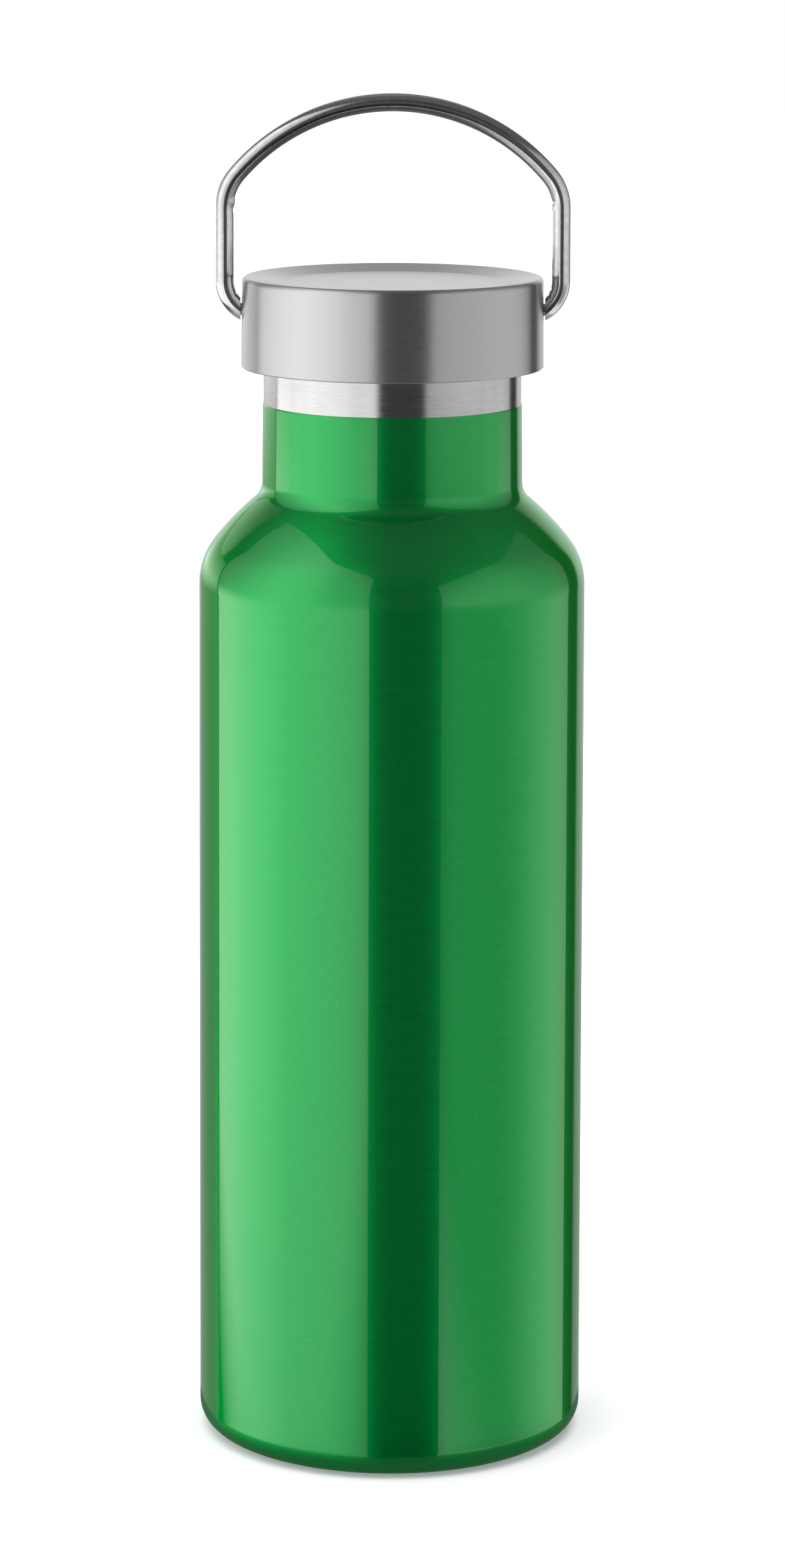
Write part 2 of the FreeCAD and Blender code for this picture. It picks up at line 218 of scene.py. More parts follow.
def add_thread(bm):
    """The raised screw thread round the neck, which sinks into the neck at both ends."""
    run_out_turns = 0.06
    steps_per_turn = 120
    end_crest_r = THREAD_ROOT_R - 0.05
    edge_drop = 0.15
    edge_half = 0.1
    steps = round(THREAD_TURNS * steps_per_turn)
    sections = []
    for step in range(steps + 1):
        turns = THREAD_TURNS * step / steps
        angle = 2 * math.pi * turns
        share = min(1, turns / run_out_turns, (THREAD_TURNS - turns) / run_out_turns)
        crest_r = end_crest_r + (THREAD_CREST_R - end_crest_r) * math.sin(share * math.pi / 2)
        upper_half = [
            (crest_r, THREAD_CREST_WIDTH / 2 - edge_half),
            (crest_r - edge_drop, THREAD_CREST_WIDTH / 2 + edge_half),
            (THREAD_ROOT_R - THREAD_SINK, THREAD_ROOT_WIDTH / 2),
        ]
        lower_half = [(r, -rise) for r, rise in reversed(upper_half)]
        middle = THREAD_START_Z + PITCH * turns
        section = []
        for r, rise in lower_half + upper_half:
            section.append(bm.verts.new(place_round_z(r, angle, middle + rise)))
        sections.append(section)
    skin(bm, sections, closed=False)
    bm.faces.new(sections[0])
    bm.faces.new(sections[-1])


def add_object(name, data):
    """A new object in the scene."""
    thing = bpy.data.objects.new(name, data)
    bpy.context.scene.collection.objects.link(thing)
    return thing


def mesh_from(bm, name):
    """The finished bmesh as mesh data."""
    mesh = bpy.data.meshes.new(name)
    bm.to_mesh(mesh)
    bm.free()
    return mesh


def make_piece(name, bm, body, slot, node, *materials):
    """An object from the bmesh, which rides on a body and stands for a CAD node."""
    bmesh.ops.recalc_face_normals(bm, faces=bm.faces)
    mesh = mesh_from(bm, name)
    mesh.shade_smooth()
    mesh.set_sharp_from_angle(angle=SHARP_ANGLE)
    for material in materials:
        mesh.materials.append(material)
    piece = add_object(name, mesh)
    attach(piece, body)
    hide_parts(node)
    return piece


# Materials


class Graph:
    """A tree of shader nodes."""

    def __init__(self, tree):
        self.tree = tree

    def give(self, socket, value):
        """Links another socket to this one, or sets a plain value."""
        if isinstance(value, bpy.types.NodeSocket):
            self.tree.links.new(value, socket)
        else:
            socket.default_value = value

    def node(self, kind, inputs=(), **settings):
        """A new node. Its inputs are sockets to link or plain values, in order or by name or number."""
        node = self.tree.nodes.new(kind)
        for setting, value in settings.items():
            setattr(node, setting, value)
        for socket, value in inputs.items() if isinstance(inputs, dict) else enumerate(inputs):
            self.give(node.inputs[socket], value)
        return node

    def math(self, operation, *inputs):
        return self.node("ShaderNodeMath", inputs, operation=operation).outputs[0]

    def vector_math(self, operation, *inputs):
        return self.node("ShaderNodeVectorMath", inputs, operation=operation).outputs

    def split(self, vector):
        """The three parts of a vector."""
        return self.node("ShaderNodeSeparateXYZ", (vector,)).outputs

    def join(self, x, y, z):
        """A vector from its three parts."""
        return self.node("ShaderNodeCombineXYZ", (x, y, z)).outputs[0]

    def spread(self, value, to_low, to_high, from_low=0.3, from_high=0.7, course="LINEAR"):
        """The value moved from one range to another, and held at its ends."""
        inputs = (value, from_low, from_high, to_low, to_high)
        return self.node("ShaderNodeMapRange", inputs, interpolation_type=course).outputs[0]


class Finish(Graph):
    """A Principled material, with the nodes that its pattern is made of."""

    def __init__(self, name, **sockets):
        self.material = bpy.data.materials.new(name)
        self.material.use_nodes = True
        super().__init__(self.material.node_tree)
        self.shader = self.tree.nodes["Principled BSDF"]
        for socket, value in sockets.items():
            title = socket.replace("_", " ").title().replace("Ior", "IOR")
            self.shader.inputs[title].default_value = value

    def feed(self, socket, output):
        """Links an output to one of the shader's own sockets."""
        self.give(self.shader.inputs[socket], output)

    def place(self):
        """The point's place in the object's own frame, in metres."""
        return self.node("ShaderNodeTexCoord").outputs["Object"]

    def stretched(self, x, y, z):
        """The point's place scaled along each axis."""
        return self.vector_math("MULTIPLY", self.place(), Vector((x, y, z)))[0]

    def turned_lines(self, around, across):
        """Coordinates that make a noise run in rings about Z, on walls and on flat tops alike."""
        rise_share = 1.3
        radius_share = -0.7
        parts = self.split(self.place())
        radius = self.vector_math("LENGTH", self.join(parts[0], parts[1], 0.0))["Value"]
        rise = self.math("MULTIPLY", parts[2], rise_share * across)
        both = self.math("MULTIPLY_ADD", radius, radius_share * across, rise)
        x = self.math("MULTIPLY", parts[0], around)
        y = self.math("MULTIPLY", parts[1], around)
        return self.join(x, y, both)

    def noise(self, vector, scale=1.0, detail=2.0, roughness=0.5):
        inputs = {"Vector": vector, "Scale": scale, "Detail": detail, "Roughness": roughness}
        return self.node("ShaderNodeTexNoise", inputs).outputs["Fac"]

    def cells(self, vector, scale):
        """The colour and the distance from the middle of the cells of a random grid."""
        return self.node("ShaderNodeTexVoronoi", {"Vector": vector, "Scale": scale}).outputs

    def specks(self, vector, scale, size, share):
        """Small round specks in a share of the cells of a grid, 1 inside a speck and 0 outside."""
        cells = self.cells(vector, scale)
        colour = self.node("ShaderNodeSeparateColor", (cells["Color"],)).outputs[0]
        chosen = self.math("LESS_THAN", colour, share)
        near = self.math("LESS_THAN", cells["Distance"], size)
        return self.math("MULTIPLY", chosen, near)

    def brush_lines(self, fine_grain, broad_grain, fine_share, fine_roughness):
        """Brush lines in rings about Z: the fine ones alone, and the fine and broad ones together. A
        grain is the scale of its noise around the axis and across the lines."""
        fine = self.noise(self.turned_lines(*fine_grain), detail=3.0, roughness=fine_roughness)
        broad = self.noise(self.turned_lines(*broad_grain))
        fine_part = self.math("MULTIPLY", fine, fine_share)
        return fine, self.math("MULTIPLY_ADD", broad, 1 - fine_share, fine_part)

    def mix(self, share, first, second):
        """A colour between two colours, each (red, green, blue) or a socket."""
        inputs = {0: share}
        for socket, colour in ((6, first), (7, second)):
            inputs[socket] = (*colour, 1.0) if isinstance(colour, tuple) else colour
        return self.node("ShaderNodeMix", inputs, data_type="RGBA").outputs[2]

    def bump(self, height, strength, distance):
        """Relief from a height between 0 and 1, with its full depth in metres."""
        inputs = {"Height": height, "Strength": strength, "Distance": distance}
        self.feed("Normal", self.node("ShaderNodeBump", inputs).outputs["Normal"])

    def grain_round_z(self, amount):
        """Reflections that spread across brush lines which run in rings about Z."""
        quarter_turn = 0.25
        tangent = self.node("ShaderNodeTangent", direction_type="RADIAL", axis="Z")
        self.feed("Tangent", tangent.outputs[0])
        self.shader.inputs["Anisotropic"].default_value = amount
        self.shader.inputs["Anisotropic Rotation"].default_value = quarter_turn


def scaled(colour, factor, lift=0.0):
    """A colour with each channel multiplied, lifted, and held at 1."""
    return tuple(min(1.0, channel * factor + lift) for channel in colour)


def green_lacquer():
    """Clear green lacquer over brushed steel: fine rings, tiny flakes and a glossy coat. The metal
    gives the green, which stays green in glancing light, and the coat gives the white reflections."""
    finish = Finish(
        "green_lacquer",
        metallic=0.9,
        specular_ior_level=0.0,
        specular_tint=(0.1, 0.75, 0.3, 1.0),
        coat_weight=1.0,
        coat_roughness=0.03,
        coat_ior=1.5,
    )
    deep = (0.001, 0.32, 0.055)
    light = (0.002, 0.36, 0.065)
    flake_colour = (0.02, 0.5, 0.12)
    finish.grain_round_z(0.8)
    fine, lines = finish.brush_lines((300, 6000), (90, 1200), fine_share=0.7, fine_roughness=0.6)
    colour = finish.mix(finish.spread(lines, 0.0, 1.0, 0.34, 0.66), deep, light)
    flake = finish.specks(finish.place(), scale=3600.0, size=0.3, share=0.04)
    finish.feed("Base Color", finish.mix(flake, colour, flake_colour))
    finish.feed("Roughness", finish.spread(lines, 0.32, 0.38))
    finish.bump(fine, 0.06, 0.00005)
    return finish.material


def turned_steel(name, base, roughness, anisotropy, line_strength):
    """Bare steel brushed in rings about Z."""
    finish = Finish(name, metallic=1.0)
    darker = scaled(base, 1 - 0.16 * line_strength)
    lighter = scaled(base, 1 + 0.14 * line_strength)
    finish.grain_round_z(anisotropy)
    fine, lines = finish.brush_lines((340, 7000), (110, 2200), fine_share=0.75, fine_roughness=0.65)
    finish.feed("Base Color", finish.mix(finish.spread(lines, 0.0, 1.0, 0.36, 0.64), darker, lighter))
    finish.feed("Roughness", finish.spread(lines, roughness * 0.82, roughness * 1.18))
    finish.bump(fine, 0.2 * line_strength, 0.00006)
    return finish.material


def satin_steel(name, base, roughness):
    """Bead-blasted and polished metal with small soft specks."""
    finish = Finish(name, metallic=1.0)
    mottle = finish.noise(finish.place(), 900.0, detail=3.0)
    grain = finish.noise(finish.place(), 5200.0)
    finish.feed("Base Color", finish.mix(finish.spread(mottle, 0.0, 1.0), scaled(base, 0.86), base))
    finish.feed("Roughness", finish.spread(grain, roughness * 0.8, roughness * 1.25))
    finish.bump(grain, 0.15, 0.00004)
    return finish.material


def plain_moulding(name, base, roughness, grain_scale, depth):
    """Moulded plastic, silicone or ceramic with a fine surface grain and slight mottling."""
    finish = Finish(name)
    grain = finish.noise(finish.place(), grain_scale, detail=4.0)
    mottle = finish.noise(finish.place(), 160.0)
    lighter = scaled(base, 1.35, lift=0.004)
    finish.feed("Base Color", finish.mix(finish.spread(mottle, 0.0, 1.0), base, lighter))
    finish.feed("Roughness", finish.spread(grain, roughness * 0.85, min(1.0, roughness * 1.15)))
    finish.bump(grain, 0.4, depth)
    return finish.material


def cell_foam():
    """Pale closed-cell foam, with painted shade that darkens the middle of each pore."""
    finish = Finish("cell_foam")
    cells = finish.cells(finish.place(), scale=1400.0)
    pore_hollows_and_shade = finish.spread(cells["Distance"], 0.0, 1.0, 0.0, 0.6)
    # Painted shade: the colour darkens towards the middle of each pore, where the bump makes a hollow.
    finish.feed("Base Color", finish.mix(pore_hollows_and_shade, (0.46, 0.43, 0.34), (0.78, 0.75, 0.66)))
    finish.feed("Roughness", finish.spread(pore_hollows_and_shade, 0.95, 0.8))
    finish.bump(pore_hollows_and_shade, 0.6, 0.0002)
    return finish.material


def wrinkled_foil():
    """Bright foil with long soft wrinkles, and painted shade that darkens their hollows."""
    finish = Finish("wrinkled_foil", metallic=1.0)
    folds_and_shade = finish.noise(finish.stretched(90, 90, 30), detail=4.0, roughness=0.6)
    # Painted shade: the colour is darker in the hollows of the wrinkles and lighter on their crests.
    finish.feed("Base Color", finish.mix(folds_and_shade, (0.72, 0.6, 0.5), (0.93, 0.8, 0.68)))
    finish.feed("Roughness", finish.spread(folds_and_shade, 0.12, 0.3))
    finish.bump(folds_and_shade, 0.5, 0.0006)
    return finish.material


LACQUER = green_lacquer()
LID_STEEL = turned_steel(
    "lid_steel", (0.58, 0.575, 0.58), roughness=0.36, anisotropy=0.94, line_strength=0.4
)
LID_TOP_STEEL = turned_steel(
    "lid_top_steel", (0.60, 0.595, 0.60), roughness=0.20, anisotropy=0.0, line_strength=0.4
)
NECK_STEEL = turned_steel(
    "neck_steel", (0.60, 0.59, 0.595), roughness=0.16, anisotropy=0.4, line_strength=0.5
)
INNER_STEEL = turned_steel(
    "inner_steel", (0.58, 0.57, 0.56), roughness=0.24, anisotropy=0.5, line_strength=0.8
)
HANDLE_STEEL = satin_steel("handle_steel", (0.7, 0.69, 0.69), roughness=0.14)
PIVOT_STEEL = satin_steel("pivot_steel", (0.50, 0.49, 0.48), roughness=0.26)


# The pieces that stand for CAD nodes


def build_shell():
    """Outer wall: body, shoulder and neck in lacquer, then the bare neck and the screw thread."""
    thread_bore_r = THREAD_ROOT_R - SHELL_WALL
    lacquer_edge = 0.06
    inner_step_z = BARE_NECK_TOP_Z - 1.6
    bm = bmesh.new()
    points = outline(
        (BODY_R, BASE_SEAM_Z),
        shoulder_arcs(BODY_R, SHOULDER_Z, NECK_R, 0),
        (LACQUER_TOP_R, LACQUER_TOP_Z - lacquer_edge),
        (LACQUER_TOP_R - lacquer_edge / 2, LACQUER_TOP_Z),
        (BARE_NECK_R, LACQUER_TOP_Z),
        (BARE_NECK_R, BARE_NECK_TOP_Z - BARE_NECK_CHAMFER),
        (BARE_NECK_R - BARE_NECK_CHAMFER, BARE_NECK_TOP_Z),
        (THREAD_ROOT_R, THREAD_ROOT_Z),
        (THREAD_ROOT_R, NECK_TOP_Z),
        (thread_bore_r, NECK_TOP_Z),
        (thread_bore_r, THREAD_ROOT_Z - SHELL_WALL),
        (BARE_NECK_R - SHELL_WALL, inner_step_z),
        shoulder_arcs(BODY_R, SHOULDER_Z, NECK_R, SHELL_WALL)[::-1],
        (BODY_R - SHELL_WALL, BASE_SEAM_Z),
    )
    add_turned(bm, points)
    add_thread(bm)
    shell = make_piece(
        "flask_shell", bm, "flask", "green_lacquer", "outer_shell", LACQUER, NECK_STEEL
    )
    bare_from_z = LACQUER_TOP_Z * MM - 1e-6
    facing_in = -1e-9
    for face in shell.data.polygons:
        middle = face.center
        outward = face.normal.x * middle.x + face.normal.y * middle.y
        face.material_index = 1 if middle.z > bare_from_z or outward < facing_in else 0


def build_base():
    """Base cup: corner, foot ring, recess and the pit of the evacuation hole."""
    corner_r = BODY_R - BASE_CORNER_R
    foot_flat_start = FOOT_R + 0.3
    foot_chamfer_top = (FOOT_R - 0.1, 0.25)
    pit_offset = 0.3
    recess_offset = 0.4
    bm = bmesh.new()
    points = outline(
        (BODY_R, BASE_SEAM_Z),
        arc(corner_r, BASE_CORNER_R, BASE_CORNER_R, 0, -90),
        (foot_flat_start, 0.0),
        foot_chamfer_top,
        (RECESS_R, RECESS_Z),
        (PIT_R, RECESS_Z),
        (PIT_R - PIT_SLOPE, PIT_Z),
        (VACUUM_HOLE_R, PIT_Z),
        (VACUUM_HOLE_R, PIT_Z + SHELL_WALL),
        (PIT_R - PIT_SLOPE + pit_offset, PIT_Z + SHELL_WALL),
        (PIT_R + pit_offset, RECESS_Z + SHELL_WALL),
        (RECESS_R + recess_offset, RECESS_Z + SHELL_WALL),
        (FOOT_R + recess_offset, SHELL_WALL),
        arc(corner_r, BASE_CORNER_R, BASE_CORNER_R - SHELL_WALL, -90, 0),
        (BODY_R - SHELL_WALL, BASE_SEAM_Z),
    )
    add_turned(bm, points)
    make_piece("flask_base", bm, "flask", "green_lacquer", "outer_base", LACQUER)


def build_lid_cover():
    """Pressed cover: straight skirt, tight round edge, then a dish with a flat floor."""
    edge_z = LID_TOP_Z - LID_EDGE_R
    edge_r = LID_TOP_R - LID_EDGE_R
    floor_z = LID_TOP_Z - DISH_DEPTH
    edge_end = 100
    blend_start = -82
    hem = 0.2
    flat_top = 0.9
    bm = bmesh.new()
    points = outline(
        (LID_R - hem, LID_BOTTOM_Z),
        (LID_R, LID_BOTTOM_Z + hem),
        arc(edge_r, edge_z, LID_EDGE_R, 0, edge_end),
        arc(DISH_R, floor_z + DISH_BLEND_R, DISH_BLEND_R, blend_start, -90),
        (0.0, floor_z),
        (0.0, floor_z - LID_WALL),
        (DISH_R, floor_z - LID_WALL),
        arc(edge_r, edge_z, LID_EDGE_R - LID_WALL, edge_end, 0),
        (LID_R - LID_WALL, LID_BOTTOM_Z),
    )
    add_turned(bm, points)
    cover = make_piece(
        "lid_steel_cover", bm, "lid", "satin_steel", "lid_cover", LID_STEEL, LID_TOP_STEEL
    )
    for face in cover.data.polygons:
        face.material_index = 1 if face.normal.z > flat_top else 0
    cut_bush_holes(cover)


def cut_bush_holes(cover):
    """Cuts the two side holes for the pivot bushes through the cover."""
    drill_sides = 48
    drill_length = 0.08
    radius = BUSH_HOLE_R * MM
    across = Matrix.Translation((0, 0, PIVOT_Z * MM)) @ Matrix.Rotation(math.pi / 2, 4, "Y")
    bm = bmesh.new()
    bmesh.ops.create_cone(
        bm,
        cap_ends=True,
        segments=drill_sides,
        radius1=radius,
        radius2=radius,
        depth=drill_length,
        matrix=across,
    )
    drill = add_object("drill", mesh_from(bm, "drill"))
    cut = cover.modifiers.new("bush_holes", "BOOLEAN")
    cut.object = drill
    cut.operation = "DIFFERENCE"
    cut.solver = "EXACT"
    bpy.context.view_layer.update()
    shaped = cover.evaluated_get(bpy.context.evaluated_depsgraph_get())
    holed = bpy.data.meshes.new_from_object(shaped)
    cover.modifiers.clear()
    cover.data = holed
    bpy.data.objects.remove(drill)


# Handle

Bend = namedtuple("Bend", "centre radius start end")
Crease = namedtuple("Crease", "side at half_length height turn")


def upper_bends():
    """The arch and the upper bend of the bar's right half. The leg runs straight down from them to the
    lower bend. A centre is (x, z), and angles are in radians from straight up towards +X."""
    reach = ARCH_R - UPPER_BEND_R
    upper_x = LEG_X - UPPER_BEND_R
    upper_rise = math.sqrt(reach**2 - upper_x**2)
    sweep = math.atan2(upper_x, upper_rise)
    arch = Bend((0.0, ARCH_Z), ARCH_R, 0.0, sweep)
    upper = Bend((upper_x, ARCH_Z + upper_rise), UPPER_BEND_R, sweep, math.pi / 2)
    return arch, upper


def bend_length(bend):
    return bend.radius * (bend.end - bend.start)


def bar_creases():
    """Creases that bending the tube has left on the inside of its bends: the side (+1 right), how far
    along the bar from the arch's top, the half length along the bar, the height, and the angle round
    the bar from its inner side towards the back, in millimetres and degrees."""
    arch, upper = upper_bends()
    bend_end = bend_length(arch) + bend_length(upper)
    leg_end = bend_end + upper.centre[1] - LOWER_BEND_Z
    return [
        Crease(-1, bend_end - 1.1, 0.75, 0.2, 5.0),
        Crease(-1, bend_end + 0.55, 0.45, -0.15, 0.0),
        Crease(1, bend_end - 1.3, 0.5, -0.17, 10.0),
        Crease(1, bend_end - 0.4, 0.5, 0.13, 5.0),
        Crease(-1, leg_end + 4.2, 0.45, -0.14, 0.0),
        Crease(1, leg_end + 2.6, 0.4, -0.17, 15.0),
        Crease(1, leg_end + 4.6, 0.4, -0.12, 0.0),
    ]


def crease_height(creases, side, run, angle):
    """How far the creases push the bar's surface out at this place, in millimetres."""
    total = 0.0
    for crease in creases:
        if crease.side == side:
            along = math.exp(-(((run - crease.at) / crease.half_length) ** 2))
            facing = max(0.0, math.cos(math.radians(angle - crease.turn)))
            total += crease.height * along * facing**3
    return total


def build_handle():
    """One bent steel tube: arch, two upper bends, two legs and two bends in to the pivots."""
    around_steps = 40
    arch_steps = 110
    bend_steps = 46
    leg_steps = 34
    lower_steps = 44
    right_angle = math.pi / 2
    arch, upper = upper_bends()
    leg_length = upper.centre[1] - LOWER_BEND_Z
    lower_centre = (LEG_X - LOWER_BEND_R, LOWER_BEND_Z)
    end_reach = HANDLE_END_X - lower_centre[0]
    creases = bar_creases()
    bm = bmesh.new()

    def ring(side, run, centre, radius, angle_at):
        """A ring of the bar about a bend's centre. angle_at gives the bend's angle for a distance
        from that centre."""
        vertices = []
        for step in range(around_steps):
            turn = 2 * math.pi * step / around_steps
            from_inner_side = math.degrees(turn) - 180
            bar_r = BAR_R + crease_height(creases, side, run, from_inner_side)
            distance = radius + bar_r * math.cos(turn)
            angle = angle_at(distance)
            x = centre[0] + distance * math.sin(angle)
            z = centre[1] + distance * math.cos(angle)
            y = -bar_r * math.sin(turn)
            vertices.append(bm.verts.new((side * x * MM, y * MM, z * MM)))
        return vertices

    def half(side):
        """The rings of one half, from the arch's top to the bar's end."""
        rings = []
        run = 0.0
        for bend, steps in ((arch, arch_steps), (upper, bend_steps)):
            for step in range(steps):
                angle = bend.start + (bend.end - bend.start) * step / steps
                at = run + bend.radius * (angle - bend.start)
                rings.append(ring(side, at, bend.centre, bend.radius, lambda _, a=angle: a))
            run += bend_length(bend)
        for step in range(leg_steps + 1):
            drop = leg_length * step / leg_steps
            centre = (upper.centre[0], upper.centre[1] - drop)
            rings.append(ring(side, run + drop, centre, upper.radius, lambda _: right_angle))
        run += leg_length
        for step in range(1, lower_steps + 1):
            share = step / lower_steps

            def fan(distance, share=share):
                """The last ring, at share 1, lies flat in the plane of the bar's end."""
                last = math.pi - math.asin(end_reach / distance)
                return right_angle + share * (last - right_angle)

            at = run + LOWER_BEND_R * (fan(LOWER_BEND_R) - right_angle)
            rings.append(ring(side, at, lower_centre, LOWER_BEND_R, fan))
        return rings

    right, left = half(1), half(-1)
    rings = left[:0:-1] + right
    skin(bm, rings, closed=False)
    bm.faces.new(rings[0])
    bm.faces.new(rings[-1])
    make_piece("bail_handle", bm, "bail", "satin_steel", "handle", HANDLE_STEEL)


def finish_cad_nodes():
    """Gives the CAD nodes that stay their materials."""
    silicone = plain_moulding(
        "milky_silicone", (0.62, 0.62, 0.6), roughness=0.42, grain_scale=2500.0, depth=0.00002
    )
    black_plastic = plain_moulding(
        "black_plastic", (0.018, 0.018, 0.019), roughness=0.4, grain_scale=3000.0, depth=0.00003
    )
    bush_plastic = plain_moulding(
        "bush_plastic", (0.03, 0.03, 0.032), roughness=0.33, grain_scale=3500.0, depth=0.00002
    )
    getter = plain_moulding(
        "getter_ceramic", (0.16, 0.15, 0.15), roughness=0.8, grain_scale=1800.0, depth=0.00006
    )
    braze = satin_steel("braze_metal", (0.55, 0.47, 0.36), roughness=0.4)
    finishes = {
        "base_cover": LACQUER,
        "vacuum_seal": braze,
        "inner_liner": INNER_STEEL,
        "liner_base": INNER_STEEL,
        "heat_shield_foil": wrinkled_foil(),
        "getter_holder": INNER_STEEL,
        "getter_pellet": getter,
        "lid_insert": black_plastic,
        "plug_liner": INNER_STEEL,
        "foam_core": cell_foam(),
        "mouth_gasket": silicone,
        "pivot_pin_right": PIVOT_STEEL,
        "pivot_pin_left": PIVOT_STEEL,
        "pivot_bush_right": bush_plastic,
        "pivot_bush_left": bush_plastic,
        "friction_washers": PIVOT_STEEL,
        "retaining_clips": PIVOT_STEEL,
    }
    for name, material in finishes.items():
        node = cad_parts[name]
        node.data.materials.clear()
        node.data.materials.append(material)


# Floor, light and camera


def softbox(name, facing, clearance, top, fade, stations):
    """An upright flat panel that squarely faces the flask from one azimuth, at a clearance. The camera
    doesn't see it. Each station across it has an azimuth, in degrees from the camera's side towards
    +X, and its radiance near the floor, in the band that the body mirrors, and higher up. The share
    of the last radiance that is left at the very top is fade."""
    bands = ((-0.6, 0), (-0.3, 0), (-0.19, 1), (0.05, 1), (0.16, 2), (top, 3))
    corners = []
    glows = []
    for azimuth, *radiances in stations:
        radiances.append(radiances[-1] * fade)
        angle = math.radians(azimuth)
        distance = clearance / math.cos(angle - math.radians(facing))
        for height, band in bands:
            corners.append((distance * math.sin(angle), -distance * math.cos(angle), height))
            glows.append(radiances[band])
    rows = len(bands)
    faces = []
    for column in range(len(stations) - 1):
        for row in range(rows - 1):
            at = column * rows + row
            faces.append((at, at + rows, at + rows + 1, at + 1))
    mesh = bpy.data.meshes.new(name)
    mesh.from_pydata(corners, [], faces)
    glow = mesh.attributes.new("glow", "FLOAT", "POINT")
    for point, radiance in zip(glow.data, glows):
        point.value = radiance
    panel = add_object(name, mesh)
    panel.visible_camera = False
    panel.visible_shadow = False
    material = bpy.data.materials.new(name)
    material.use_nodes = True
    graph = Graph(material.node_tree)
    graph.tree.nodes.clear()
    amount = graph.node("ShaderNodeAttribute", attribute_name="glow").outputs["Fac"]
    light = graph.node("ShaderNodeEmission", {"Strength": amount})
    graph.node("ShaderNodeOutputMaterial", {"Surface": light.outputs[0]})
    mesh.materials.append(material)


def build_floor():
    """White table top that glows by itself, as painted light, dimmer near the flask as painted shade
    round the foot and brighter away from it. It catches the flask's shadow, and the flask doesn't
    mirror it."""
    half = 4.0
    near = 0.05
    far = 0.25
    near_glow_painted_shade = 0.24
    far_glow = 1.1
    finish = Finish(
        "floor",
        roughness=1.0,
        specular_ior_level=0.0,
        base_color=(0.86, 0.85, 0.87, 1),
        emission_color=(0.98, 0.95, 1.0, 1),
    )
    away = finish.vector_math("LENGTH", finish.place())["Value"]
    # Painted light: the floor's own glow, weaker near the flask, which paints shade round the foot.
    finish.feed("Emission Strength", finish.spread(away, near_glow_painted_shade, far_glow, near, far))
    mesh = bpy.data.meshes.new("floor")
    corners = [(-half, -half, 0), (half, -half, 0), (half, half, 0), (-half, half, 0)]
    mesh.from_pydata(corners, [], [(0, 1, 2, 3)])
    mesh.materials.append(finish.material)
    floor = add_object("floor", mesh)
    floor.visible_glossy = False
    floor.visible_shadow = False


def build_painted_contact_shade():
    """Painted shade: a dark disc round the foot that only reflections see, which the flask's lowest
    edge mirrors in place of the shadowed floor there.
    """
    reach = 0.043
    below_floor = 0.0002
    sides = 96
    # The disc's dark grey is painted shade, standing in for the floor's shadow round the foot.
    finish = Finish(
        "contact_shade_disc", roughness=1.0, specular_ior_level=0.0, base_color=(0.14, 0.14, 0.14, 1)
    )
    bm = bmesh.new()
    bmesh.ops.create_circle(bm, cap_ends=True, segments=sides, radius=reach)
    mesh = mesh_from(bm, "contact_shade_disc")
    mesh.materials.append(finish.material)
    contact_shade_disc = add_object("contact_shade_disc", mesh)
    contact_shade_disc.location.z = -below_floor
    contact_shade_disc.visible_camera = False
    contact_shade_disc.visible_diffuse = False
    contact_shade_disc.visible_shadow = False


def build_world():
    """White to the camera. Everything else sees a dim studio with a bright wall behind the flask."""
    dim = 0.045
    ceiling = 0.14
    below = 0.45
    wall_low = 0.4
    wall_middle = 0.85
    wall_high = 0.25
    wall_heading = Vector((-0.08, 0.997, 0.0))
    wall_edge = (0.76, 0.82)
    world = bpy.data.worlds.new("studio")
    bpy.context.scene.world = world
    world.use_nodes = True
    graph = Graph(world.node_tree)
    graph.tree.nodes.clear()

    parts = graph.split(graph.node("ShaderNodeTexCoord").outputs["Generated"])
    height = parts[2]
    heading = graph.vector_math("NORMALIZE", graph.join(parts[0], parts[1], 0.0))[0]
    behind = graph.vector_math("DOT_PRODUCT", heading, wall_heading)["Value"]
    on_wall = graph.spread(behind, 0.0, 1.0, *wall_edge, "SMOOTHSTEP")
    wall_top = graph.spread(height, wall_middle, wall_high, 0.15, 0.6, "SMOOTHSTEP")
    wall_foot = graph.spread(height, wall_low, wall_middle, -0.3, 0.02, "SMOOTHSTEP")
    wall = graph.math("MINIMUM", wall_top, wall_foot)
    upward = graph.spread(height, dim, ceiling, 0.3, 0.9, "SMOOTHSTEP")
    downward = graph.spread(height, below, dim, -0.75, -0.35, "SMOOTHSTEP")
    room = graph.math("MAXIMUM", upward, downward)
    extra = graph.math("MAXIMUM", graph.math("SUBTRACT", wall, room), 0.0)
    unseen = graph.math("MULTIPLY_ADD", on_wall, extra, room)
    seen = graph.node("ShaderNodeLightPath").outputs["Is Camera Ray"]
    strength = graph.math("MAXIMUM", unseen, seen)
    background = graph.node("ShaderNodeBackground", ((1.0, 1.0, 1.0, 1.0), strength))
    graph.node("ShaderNodeOutputWorld", {"Surface": background.outputs[0]})


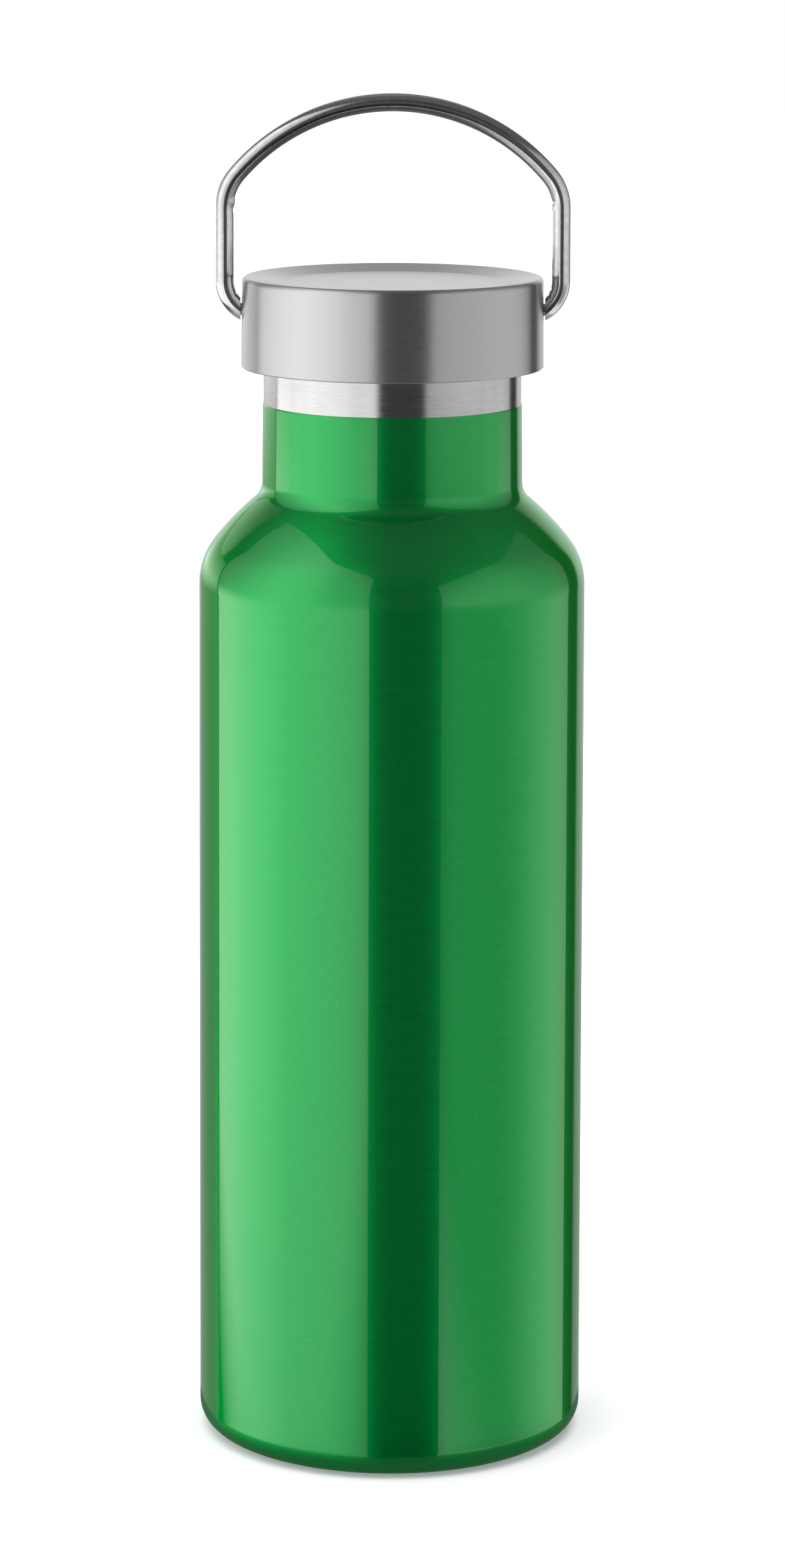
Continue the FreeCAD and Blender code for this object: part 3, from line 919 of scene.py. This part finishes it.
def build_lights():
    """Panels at both sides, a faint one in front, and an overhead light that whitens the floor."""
    softbox(
        "softbox_left",
        facing=-70.0,
        clearance=0.6,
        top=1.2,
        fade=1.0,
        stations=(
            (-13.0, 0.7, 1.3, 0.75),
            (-33.0, 0.75, 1.4, 0.85),
            (-50.0, 0.75, 1.4, 1.3),
            (-62.0, 0.6, 1.45, 1.45),
            (-75.0, 0.4, 1.8, 1.45),
            (-90.0, 0.1, 2.05, 1.15),
            (-106.0, 0.0, 2.25, 0.75),
            (-124.0, 0.0, 2.05, 0.45),
        ),
    )
    softbox(
        "softbox_left_end",
        facing=-124.0,
        clearance=0.75,
        top=0.36,
        fade=0.25,
        stations=((-125.0, 0.35, 0.3, 1.3), (-160.0, 0.35, 0.4, 1.6)),
    )
    softbox(
        "softbox_right",
        facing=86.0,
        clearance=0.6,
        top=0.77,
        fade=0.5,
        stations=(
            (29.0, 1.0, 0.34, 0.92),
            (66.0, 1.1, 0.37, 0.97),
            (77.0, 1.1, 0.5, 0.92),
            (92.0, 1.0, 0.85, 0.75),
            (109.0, 1.1, 1.05, 0.6),
            (128.0, 1.0, 0.8, 0.4),
        ),
    )
    softbox(
        "front_fill",
        facing=8.0,
        clearance=0.9,
        top=0.5,
        fade=1.0,
        stations=((-12.5, 0.0, 0.03, 0.1), (28.5, 0.0, 0.03, 0.1)),
    )
    light = bpy.data.lights.new("overhead", "AREA")
    light.size = 1.6
    light.energy = 26.0
    overhead = add_object("overhead", light)
    overhead.location = (0, 0, 1.4)
    overhead.visible_glossy = False
    overhead.visible_camera = False


def build_camera():
    """The camera stands well back and a little above the lid, with a long lens."""
    distance = 0.881
    height = 0.2958
    tilt = 6.76
    roll = 0.175
    data = bpy.data.cameras.new("camera")
    data.lens = 112.65
    data.sensor_width = 36.0
    data.shift_y = -0.25
    camera = add_object("camera", data)
    look = Matrix.Rotation(math.radians(90 - tilt), 4, "X")
    lean = Matrix.Rotation(math.radians(roll), 4, "Z")
    camera.matrix_world = Matrix.Translation((0, -distance, height)) @ look @ lean
    bpy.context.scene.camera = camera


build_shell()
build_base()
build_lid_cover()
build_handle()
finish_cad_nodes()
build_floor()
build_painted_contact_shade()
build_world()
build_lights()
build_camera()
bpy.context.scene.view_settings.view_transform = "Standard"
